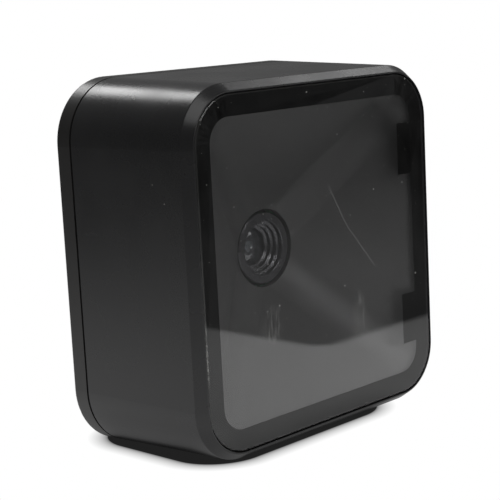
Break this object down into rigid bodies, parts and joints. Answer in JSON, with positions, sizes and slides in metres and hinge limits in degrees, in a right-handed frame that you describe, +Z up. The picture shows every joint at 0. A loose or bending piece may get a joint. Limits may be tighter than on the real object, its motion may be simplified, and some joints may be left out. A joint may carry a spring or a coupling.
{
  "type": "flatbed barcode scanner",
  "caption": "Compact square 2D barcode scanner with a glass window over a light funnel and a focusing lens, standing on one side.",
  "frame": {"origin": "centre of the footprint, on the surface that the scanner stands on", "axes": "+Z up, the window faces -Y, +X to the right seen from the front"},
  "size_m": [0.07, 0.0334, 0.07],
  "materials": {
    "housing_plastic": "fine matte texture, satin sheen",
    "cover_plastic": "fine matte texture",
    "seal_rubber": "soft matte",
    "window_glass": "polished, lightly scratched",
    "border_print": "screen print, gloss through the glass",
    "foam_tape": "closed-cell foam",
    "funnel_plastic": "smooth satin",
    "circuit_board": "green solder mask",
    "led_package": "white package with yellow phosphor",
    "screw_steel": "zinc plated",
    "black_screw_steel": "black oxide",
    "insert_brass": "turned",
    "lens_metal": "black anodised",
    "holder_plastic": "moulded matte",
    "lens_glass": "coated, violet-green reflection",
    "filter_glass": "coated filter, pale cyan",
    "chip_epoxy": "moulding compound",
    "sensor_package": "ceramic package",
    "ferrite": "ferrite grey",
    "can_metal": "satin can",
    "buzzer_plastic": "moulded gloss",
    "jack_plastic": "moulded satin",
    "contact_gold": "gold flash",
    "infrared_lens": "dark tinted epoxy",
    "ribbon_film": "amber polyimide",
    "connector_nylon": "ivory nylon",
    "label_film": "blank silver polyester"
  },
  "bodies": {
    "root": {"front_housing": "housing_plastic", "rear_cover": "cover_plastic", "cover_seal": "seal_rubber", "cover_screws": "black_screw_steel", "mounting_inserts": "insert_brass", "rating_label": "label_film", "scan_window": "window_glass", "window_border": "border_print", "window_tape": "foam_tape", "light_funnel": "funnel_plastic", "illumination_board": "circuit_board", "illumination_leds": "led_package", "illumination_board_screws": "screw_steel", "lens_holder": "holder_plastic", "lens_set_screw": "screw_steel", "lens_holder_screws": "screw_steel", "infrared_filter": "filter_glass", "image_sensor": "sensor_package", "sensor_board": "circuit_board", "sensor_board_spacers": "insert_brass", "sensor_board_screws": "screw_steel", "board_link_socket": "connector_nylon", "board_link_plug": "connector_nylon", "main_board": "circuit_board", "main_board_screws": "screw_steel", "decoder_chip": "chip_epoxy", "memory_chip": "chip_epoxy", "clock_crystal": "screw_steel", "power_inductor": "ferrite", "capacitors": "can_metal", "buzzer": "buzzer_plastic", "data_socket": "jack_plastic", "socket_contacts": "contact_gold", "presence_sensor_board": "circuit_board", "presence_board_screws": "screw_steel", "infrared_emitter": "infrared_lens", "infrared_receiver": "infrared_lens", "flex_connectors": "connector_nylon", "presence_ribbon": "ribbon_film", "illumination_ribbon": "ribbon_film"},
    "lens_cell": {"front_lens": "lens_glass", "aperture_stop": "lens_metal", "rear_lens": "lens_glass", "lens_retaining_ring": "lens_metal"},
    "lens_barrel": {"lens_barrel": "lens_metal"}
  },
  "joints": [
    {"name": "focus_travel", "type": "slide", "parent": "root", "child": "lens_cell", "axis": [0, 1, 0], "range_m": [-0.000249, 0.000249]},
    {"name": "focus_turn", "type": "hinge", "parent": "lens_cell", "child": "lens_barrel", "pos_m": [0, 0.0027, 0.03498], "axis": [0, 1, 0], "range_deg": [-180, 180]}
  ],
  "couplings": [
    {"joint": "focus_turn", "follows": "focus_travel", "rad_per_m": 12566}
  ]
}
